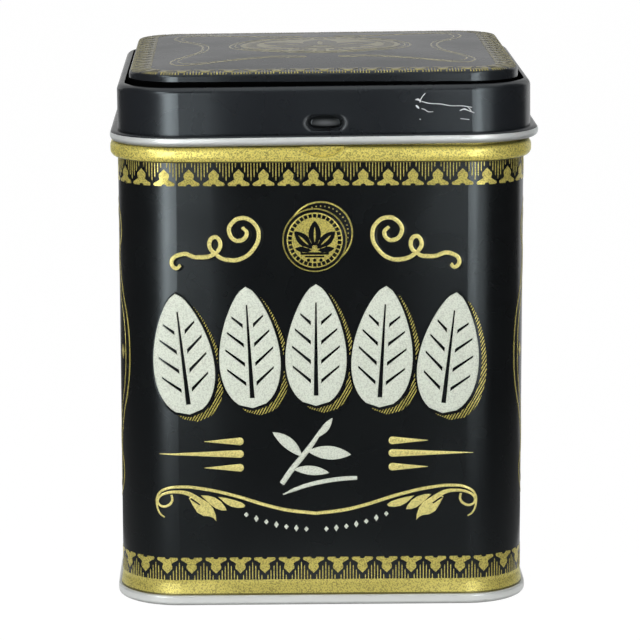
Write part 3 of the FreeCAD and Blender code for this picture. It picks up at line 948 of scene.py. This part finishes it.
def stand(outline, index, shift=(0.0, 0.0)):
    """Puts an outline at its place in the row: leaning outwards and a little lower at the ends."""
    place = index - (LEAF_COUNT - 1) / 2
    lean = -place * LEAF_LEAN
    foot = LEAF_FOOT - LEAF_ARCH * (place / 2) ** 2
    spots = []
    for x, y in outline:
        u = x * math.cos(lean) - y * math.sin(lean) + place * LEAF_PITCH - math.copysign(0.4, place) * abs(place)
        v = x * math.sin(lean) + y * math.cos(lean) + foot
        spots.append((u + shift[0] + PRINT_SHIFT, v + shift[1]))
    return spots


# %% [markdown]
# The hatching is too fine to be cut as geometry, so it is a pattern in the shadow's material: a sawtooth across the
# diagonal, cut in two, chooses between gold ink and black lacquer.

# %% Hatched ink

HATCH_PITCH = 0.44
HATCH_ACROSS = (0.87, -0.5)
HATCH_SHARE = 0.47


def make_hatched(name):
    material, tree, shader = new_material(name)
    place = object_place(tree)
    across, up = (part / (HATCH_PITCH * MM) for part in HATCH_ACROSS)
    sideways = math_node(tree, "MULTIPLY", axis_of(tree, place, "X"), across)
    saw = math_node(tree, "MULTIPLY_ADD", axis_of(tree, place, "Z"), up, sideways)
    line = math_node(tree, "LESS_THAN", math_node(tree, "FRACT", saw), HATCH_SHARE)
    dress(tree, shader, {
        "Base Color": mix_colour(tree, line, BLACK, gold_colour(tree, place)),
        "Metallic": mix_value(tree, line, 0.0, GOLD_METAL),
        "Roughness": mix_value(tree, line, LACQUER_ROUGHNESS, GOLD_ROUGHNESS),
        "Specular IOR Level": LACQUER_GLOSS,
    })
    return material


hatched = make_hatched("hatched_gold")

# %% Stand the leaves in a row

leaves = []
gaps = []
shadows = []
for index in range(LEAF_COUNT):
    outlines = [stand(outline, index) for outline in [leaf_outline(), *leaf_veins()]]
    leaves.append(shape(outlines, rise=0.36, edge=0.22))
    gaps.append(shape([stand(leaf_outline(SHADOW_GAP), index, (0.12, -0.1))], rise=0.05))
    shadows.append(shape([stand(leaf_outline(0.1), index, SHADOW_SHIFT)], rise=0.03))
piece("leaf_shadows", shadows, on_wall, hatched)
piece("leaf_gaps", gaps, on_wall, lacquer)
piece("leaves", leaves, on_wall, cream)

# %% [markdown]
# ## Darts, sprig and flourish
# Below the leaves stand three darts on each side of a cream sprig of three leaves and a bud with a swash under it.
# Under them runs a long flourish, thin at its curled ends and wide in the middle, with three small blades on each
# side, and a sagging row of cream lozenges.

# %% Darts


def dart(tip, end, radius=0.72):
    """A stroke from a sharp tip to a round end."""
    step = math.copysign(radius, end - tip[0])
    round_part = []
    for share in (0.35, 0.7, 0.9, 1.0):
        round_part.append((end - step + step * share, tip[1], radius * math.sqrt(1.0001 - share**2)))
    return [(*tip, 0.04), (end - step, tip[1], radius), *round_part]


dart_meshes = []
for tip_u, level in ((20.5, 30.9), (28.8, 28.55), (20.5, 25.95)):
    for side in (-1, 1):
        points = dart((side * tip_u, level), side * 13.25)
        dart_meshes.append(stroke(moved(points, PRINT_SHIFT), 0.28, smooth=False, sides=5))
piece("darts", dart_meshes, on_wall, raised_gold_painted_light)

# %% Sprig

SPRIG_RISE = 0.26
stem = [(-6.3, 22.9, 0.5), (-4.6, 25.4, 0.52), (-2.2, 28.4, 0.5), (-0.3, 31.0, 0.42), (0.9, 33.0, 0.25)]
swash = [
    (-6.1, 20.85, 0.12), (-4.0, 21.75, 0.34), (-1.2, 22.7, 0.4), (2.1, 23.4, 0.42), (5.4, 23.8, 0.42),
    (7.5, 23.9, 0.36),
]
sprig_meshes = [stroke(moved(points, PRINT_SHIFT), SPRIG_RISE) for points in (stem, swash)]
left_leaf = [(-2.6, 28.0), (-8.0, 32.6), 0.75, 1.35]
right_leaf = [(-1.6, 29.0), (6.4, 28.3), 1.3, 1.25]
low_leaf = [(-4.2, 25.6), (2.4, 24.9), 1.0, 0.75]
bud = [(0.2, 31.6), (3.0, 35.2), 0.55, 0.75]
for start, end, left, right in (left_leaf, right_leaf, low_leaf, bud):
    outline = moved(blade(start, end, left, right), PRINT_SHIFT)
    sprig_meshes.append(shape([outline], rise=SPRIG_RISE, edge=0.16))
piece("sprig", sprig_meshes, on_wall, cream)

# %% Flourish

FLOURISH_RISE = 0.26
long_stem = [
    (0.0, 17.25, 0.32), (-5.3, 17.9, 0.32), (-9.0, 18.8, 0.32), (-15.1, 20.7, 0.31), (-20.8, 22.0, 0.3),
    (-25.0, 22.4, 0.28), (-27.6, 22.0, 0.25), (-29.1, 20.9, 0.22), (-29.4, 18.9, 0.2), (-28.8, 17.3, 0.18),
    (-27.9, 16.6, 0.14),
]
curled_stem = [
    (-26.6, 20.9, 0.2), (-26.5, 19.8, 0.22), (-27.3, 18.85, 0.24), (-28.5, 18.7, 0.22), (-29.2, 19.4, 0.2),
    (-28.9, 20.4, 0.2), (-27.7, 21.15, 0.24), (-25.5, 21.45, 0.3), (-23.5, 21.1, 0.4), (-22.2, 20.3, 0.5),
]
big_leaf = [
    (-23.4, 20.3), (-22.7, 18.9), (-21.9, 17.6), (-20.8, 16.95), (-19.7, 16.85), (-18.9, 16.5), (-18.4, 15.9),
    (-18.5, 17.1), (-18.95, 18.3), (-19.8, 19.35), (-20.85, 20.05), (-22.2, 20.9),
]
upper_leaf = [
    (-21.2, 20.8), (-19.9, 20.75), (-18.6, 20.35), (-17.5, 19.6), (-16.75, 18.6), (-16.5, 17.95), (-17.4, 17.95),
    (-18.4, 18.3), (-19.4, 19.0), (-20.3, 19.9),
]
far_leaf = [
    (-18.0, 20.5), (-16.7, 20.3), (-15.1, 19.9), (-13.7, 19.4), (-13.05, 18.85), (-13.3, 18.5), (-14.3, 18.4),
    (-15.5, 18.6), (-16.6, 19.2),
]
leaf_slit = [(-23.3, 20.2), (-22.9, 20.35), (-21.3, 19.15), (-21.5, 19.0)]
flourish_meshes = []
for points in (long_stem, curled_stem):
    for side in both_sides(points):
        flourish_meshes.append(stroke(moved(side, PRINT_SHIFT), FLOURISH_RISE))
for outline in (big_leaf, upper_leaf, far_leaf):
    for side in both_sides(outline):
        flourish_meshes.append(shape([moved(side, PRINT_SHIFT)], rise=FLOURISH_RISE, edge=0.14))
slits = [moved(side, PRINT_SHIFT) for side in (leaf_slit, mirrored(leaf_slit))]
piece("flourish_slits", [shape(slits, rise=FLOURISH_RISE + 0.02)], on_wall, lacquer)
piece("flourish", flourish_meshes, on_wall, raised_gold_painted_light)

# %% Row of lozenges

LOZENGE_PITCH = 1.84
LOZENGE_HALF = 0.42
lozenges = []
for index in range(15):
    if index == 7:
        continue
    u = (index - 7) * LOZENGE_PITCH
    v = 14.25 + 2.9 * (u / 13.0) ** 2
    tall = 0.66 if index % 2 else 0.5
    lozenges.append(moved(lozenge(u, v, LOZENGE_HALF, tall), PRINT_SHIFT))
piece("lozenges", [shape(lozenges, rise=0.05)], on_wall, cream)

# %% [markdown]
# ## The frames on the other sides
# Each of the other three sides has a frame of two thin gold lines. It bulges out a little in the middle of its top
# and foot, dips in on both sides of that, and swells again towards the corners. A small lozenge lies inside it at
# each side. The frame is drawn for a quarter, mirrored into a closed line, and laid on each side.

# %% Side frames

FRAME_MIDDLE = 46.5
MARK_REACH = 30.1
FRAME_QUARTER = [
    (0.0, 27.5), (5.0, 25.0), (10.5, 24.2), (15.5, 27.2), (22.0, 28.6), (28.0, 27.0), (30.0, 22.6),
    (28.7, 18.0), (30.0, 12.5), (32.2, 6.5), (32.9, 0.0),
]


def frame_line(size, half_width):
    """A closed line, drawn for a quarter and then mirrored twice."""
    points = [(x * size, y * size, half_width) for x, y in FRAME_QUARTER]
    right = points + [(x, -y, width) for x, y, width in reversed(points[:-1])]
    return right + mirrored(right[1:-1])


for quarters, side in ((1, "right"), (2, "back"), (3, "left")):
    middle = quarters * QUARTER
    lines = [frame_line(1.0, 0.2), frame_line(0.955, 0.11)]
    meshes = [stroke(moved(line, middle, FRAME_MIDDLE), 0.05, closed=True) for line in lines]
    meshes.append(shape([lozenge(middle + end * MARK_REACH, FRAME_MIDDLE, 0.7, 1.4) for end in (-1, 1)]))
    piece(f"frame_{side}", meshes, on_wall, gold)

# %% [markdown]
# ## The print on the lid
# The raised top has the border again, with its lines outwards. Inside it, left and right, runs a band of two lines
# that join in a hook at the front and back. A large gold round in the middle carries the crest.

# %% Border of the lid

TOP_HALF = 35.25
TOP_CORNER = 8.85
TOP_QUARTER = 2 * (TOP_HALF - TOP_CORNER) + TOP_CORNER * math.pi / 2
TOP_SCALE = TOP_QUARTER / QUARTER


def on_top_border(u, v, lift):
    """u runs round the raised top and v inwards from its edge."""
    x, y = round_the_square(u * TOP_SCALE, -v * 0.9, TOP_HALF, TOP_CORNER)
    return on_lid_top(x, y, lift)


def cut_for_edge(bm):
    """Cuts the border along its outer edge, where it bends over the round edge of the lid."""
    for level in (0.2, 0.4, 0.6, 0.8):
        cut_across(bm, (0, level, 0), (0, 1, 0))


cuts[on_top_border] = cut_for_edge
top_border = [shape(half_of_border(half * 2 * QUARTER, 0.0, True), rise=0.05) for half in range(2)]
piece("lid_border", top_border, on_top_border, gold_painted_dull_on_top)

# %% Frame and round of the lid

LID_FRAME = [
    (4.4, 18.6), (8.2, 18.1), (13.1, 19.8), (18.0, 22.4), (22.5, 25.2), (26.0, 26.0),
    (27.9, 22.5), (27.5, 17.5), (25.4, 12.0), (23.2, 7.0), (22.3, 0.0),
]
ROUND_DEPTH = 0.79


def on_lid_round(u, v, lift):
    """The round in the middle of the lid is a little wider than it is deep."""
    return on_lid_top(u, v * ROUND_DEPTH + 0.6, lift)


cuts[on_lid_round] = cut_for_dome
centre = (0.0, 0.0)


def lid_band(half_width):
    """Two lines side by side that join in a round hook at the front and at the back."""
    outer = [(x, y, half_width) for x, y in LID_FRAME + [(x, -y) for x, y in reversed(LID_FRAME[:-1])]]
    inner = [(x * 0.95, y * 0.93, width * 0.7) for x, y, width in reversed(outer)]
    return [(3.1, 18.0, half_width), *outer, (3.1, -18.0, half_width), *inner]


bands = [stroke(side, 0.06, closed=True) for side in both_sides(lid_band(0.22))]
piece("lid_frame", bands, on_lid_top, varnished_gold)
lid_rings = [ring(centre, 17.2, 0.2, 0.04, 48), ring(centre, 16.2, 0.12, 0.04, 48)]
lid_disc = shape([circle(*centre, 15.2, 96)], rise=0.035)
piece("lid_round", [*lid_rings, lid_disc], on_lid_round, varnished_gold)
piece("lid_relief", [crest(centre, 15.0, 0.05)], on_lid_round, black_painted_grey_on_top)

# %% [markdown]
# ## Scratches
# The lid was scraped: a thin bright line with small nicks at both ends, down to the white primer. Each is a short
# stroke that lies on the lacquer.

# %% Scratches


def make_scraped(name):
    material, tree, shader = new_material(name)
    effect = touched(tree, object_place(tree), 2500.0, 0.2)
    tone = mix_colour(tree, effect.outputs["Unevenness"], (0.8, 0.8, 0.8, 1.0), (0.4, 0.4, 0.4, 1.0))
    dress(tree, shader, {"Base Color": tone, "Roughness": 0.6})
    return material


scraped = make_scraped("scraped_primer")
SCRATCHES = [
    [
        (17.3, 7.6, 0.08), (18.6, 7.25, 0.07), (20.6, 7.1, 0.08), (22.6, 6.75, 0.06), (24.6, 6.7, 0.07),
        (26.4, 6.4, 0.06),
    ],
    [(17.0, 7.4, 0.07), (17.3, 8.2, 0.08), (18.0, 9.1, 0.05)],
    [(16.2, 7.9, 0.06), (16.7, 7.95, 0.2), (17.2, 7.6, 0.1)],
    [(16.3, 6.9, 0.1), (16.6, 6.6, 0.2), (16.9, 6.3, 0.08)],
    [(17.3, 6.3, 0.05), (18.0, 6.05, 0.07), (18.4, 5.75, 0.05), (19.4, 5.7, 0.04)],
    [(24.2, 5.85, 0.06), (25.0, 6.1, 0.12), (25.7, 5.85, 0.07), (26.8, 5.4, 0.05)],
    [(25.6, 6.5, 0.05), (26.0, 6.1, 0.08), (26.3, 5.6, 0.05)],
    [(24.3, 4.4, 0.04), (25.9, 4.2, 0.05)],
    [(16.9, 4.4, 0.06), (17.2, 4.35, 0.05)],
]
piece("scratches", [stroke(line, 0.03) for line in SCRATCHES], on_lid_front, scraped)

# %% [markdown]
# ## Floor, light and camera
# The tin stands on a plain white floor in front of white. Three tall soft lights stand low at the front, one left
# and two right of the camera: they are what the round corners of the wall show as soft upright streaks. A large soft
# light above evens out the print.

# %% Floor and world

WORLD_LIGHT = 0.14
FLOOR_SIZE = 3.0
FLOOR_GLOW = 1.04
GLOW_SHARE = 0.95


def seen_directly(tree):
    """One for rays from the camera and for mirror images, zero for light that falls on things."""
    light_path = add_node(tree, "ShaderNodeLightPath")
    seen = math_node(tree, "ADD", light_path.outputs["Is Camera Ray"], light_path.outputs["Is Glossy Ray"])
    return math_node(tree, "ADD", seen, light_path.outputs["Is Transmission Ray"], clamp=True)


def make_floor():
    bm = bmesh.new()
    bmesh.ops.create_grid(bm, x_segments=1, y_segments=1, size=FLOOR_SIZE)
    floor = add_object("floor", mesh_from(bm, "floor"))
    material, tree, shader = new_material("white_floor")
    dress(tree, shader, {"Base Color": (0.82, 0.82, 0.82, 1.0), "Roughness": 0.9})
    white = add_node(tree, "ShaderNodeEmission", {"Color": (1, 1, 1, 1), "Strength": FLOOR_GLOW})
    share = math_node(tree, "MULTIPLY", seen_directly(tree), GLOW_SHARE)
    blend = add_node(tree, "ShaderNodeMixShader", {0: share, 1: shader.outputs[0], 2: white.outputs[0]})
    tree.links.new(blend.outputs[0], exit_of(tree))
    floor.data.materials.append(material)


def make_world():
    world = bpy.data.worlds.new("studio")
    bpy.context.scene.world = world
    world.use_nodes = True
    tree = world.node_tree
    background = next(node for node in tree.nodes if node.type == "BACKGROUND")
    strength = mix_value(tree, seen_directly(tree), WORLD_LIGHT, 1.0)
    dress(tree, background, {"Color": (1, 1, 1, 1), "Strength": strength})


make_floor()
make_world()

# %% Lights


def soft_light(name, azimuth, distance, foot, size, power, colour=(1.0, 1.0, 1.0)):
    """A soft light that stands at an azimuth round the tin, in degrees, and faces its axis."""
    data = bpy.data.lights.new(name, "AREA")
    data.shape = "RECTANGLE"
    data.size, data.size_y = size
    data.energy = power
    data.color = colour
    light = add_object(name, data)
    turn = math.radians(azimuth)
    light.location = (distance * math.sin(turn), -distance * math.cos(turn), foot + data.size_y / 2)
    towards = Vector((0, 0, light.location.z)) - light.location
    light.rotation_mode = "QUATERNION"
    light.rotation_quaternion = towards.to_track_quat("-Z", "Y")
    light.visible_camera = False
    return light


COOL = (0.98, 1.0, 1.02)
LEFT_POWER = 0.46
RIGHT_POWER = 0.62
PANEL_POWER = 0.08
OVERHEAD_POWER = 0.25
soft_light("left_light", -36.0, 0.247, 0.002, (0.05, 0.3), LEFT_POWER, COOL)
soft_light("right_light", 24.5, 0.36, 0.002, (0.03, 0.42), RIGHT_POWER, COOL)
soft_light("right_panel", 37.0, 0.246, 0.002, (0.05, 0.3), PANEL_POWER, COOL)
overhead = soft_light("overhead_light", -10.0, 0.25, 0.7, (0.7, 0.7), OVERHEAD_POWER)
overhead.rotation_quaternion = (Vector((0, 0, 0.05)) - overhead.location).to_track_quat("-Z", "Y")

# %% [markdown]
# Dark and grey screens, seen only in reflections, stand round the set. The dark ones lie on the floor a little way
# from the tin and rise round the front and sides: without them a black wall would mirror the white room and look
# grey. The grey one hangs behind, where the top of the lid mirrors it.

# %% Screens

FRONT_TONE = 0.02
LEFT_TONE = 0.09
RIGHT_TONE = 0.065
NEAR_TONE = 0.24
BACK_TONE = 0.56
TONE_START = 0.08
TONE_END = 0.2
DARK_PROFILE = [(0.06, 0.0005), (0.7, 0.0005), (0.7, 1.0)]
GREY_PROFILE = [(0.7, 0.1), (0.7, 0.9)]


def make_screen(name, profile, start, sweep, near_tone, tone):
    """A profile of (radius, height) swept round the tin's axis from an azimuth; it may be lighter near the tin."""
    turn = math.radians(start)
    bm = bmesh.new()
    verts = [bm.verts.new((radius * math.sin(turn), -radius * math.cos(turn), height)) for radius, height in profile]
    edges = [bm.edges.new(pair) for pair in zip(verts, verts[1:])]
    sweep_angle = math.radians(sweep)
    bmesh.ops.spin(bm, geom=verts + edges, cent=(0, 0, 0), axis=(0, 0, 1), angle=sweep_angle, steps=48)
    screen = add_object(name, mesh_from(bm, name))
    material, tree, _ = new_material(name)
    strength = ramp(tree, length_of(tree, object_place(tree)), TONE_START, TONE_END, near_tone, tone)
    flat = add_node(tree, "ShaderNodeEmission", {"Color": (1, 1, 1, 1), "Strength": strength})
    tree.links.new(flat.outputs[0], exit_of(tree))
    screen.data.materials.append(material)
    for ray in ("camera", "diffuse", "transmission", "shadow"):
        setattr(screen, f"visible_{ray}", False)


make_screen("dark_screen", DARK_PROFILE, -60.0, 120.0, NEAR_TONE, FRONT_TONE)
make_screen("left_screen", DARK_PROFILE, -135.0, 75.0, NEAR_TONE, LEFT_TONE)
make_screen("right_screen", DARK_PROFILE, 60.0, 65.0, NEAR_TONE, RIGHT_TONE)
make_screen("grey_screen", GREY_PROFILE, 140.0, 80.0, BACK_TONE, BACK_TONE)

# %% Camera

CAMERA_AZIMUTH = math.radians(-1.25)
CAMERA_ELEVATION = math.radians(10.69)
CAMERA_ROLL = math.radians(-0.1)
CAMERA_DISTANCE = 0.65
AIM = Vector((0.00035, 0.00008, 0.0464))

camera_data = bpy.data.cameras.new("camera")
camera_data.lens = 189.17
camera_data.sensor_width = 36.0
camera_data.clip_start = 0.01
camera = add_object("camera", camera_data)
flat_reach = math.cos(CAMERA_ELEVATION)
back = Vector((
    math.sin(CAMERA_AZIMUTH) * flat_reach,
    -math.cos(CAMERA_AZIMUTH) * flat_reach,
    math.sin(CAMERA_ELEVATION),
))
camera.location = AIM + back * CAMERA_DISTANCE
camera.rotation_mode = "QUATERNION"
roll = Quaternion((math.cos(CAMERA_ROLL / 2), 0, 0, math.sin(CAMERA_ROLL / 2)))
camera.rotation_quaternion = (-back).to_track_quat("-Z", "Y") @ roll
bpy.context.scene.camera = camera
bpy.context.scene.view_settings.view_transform = "Standard"
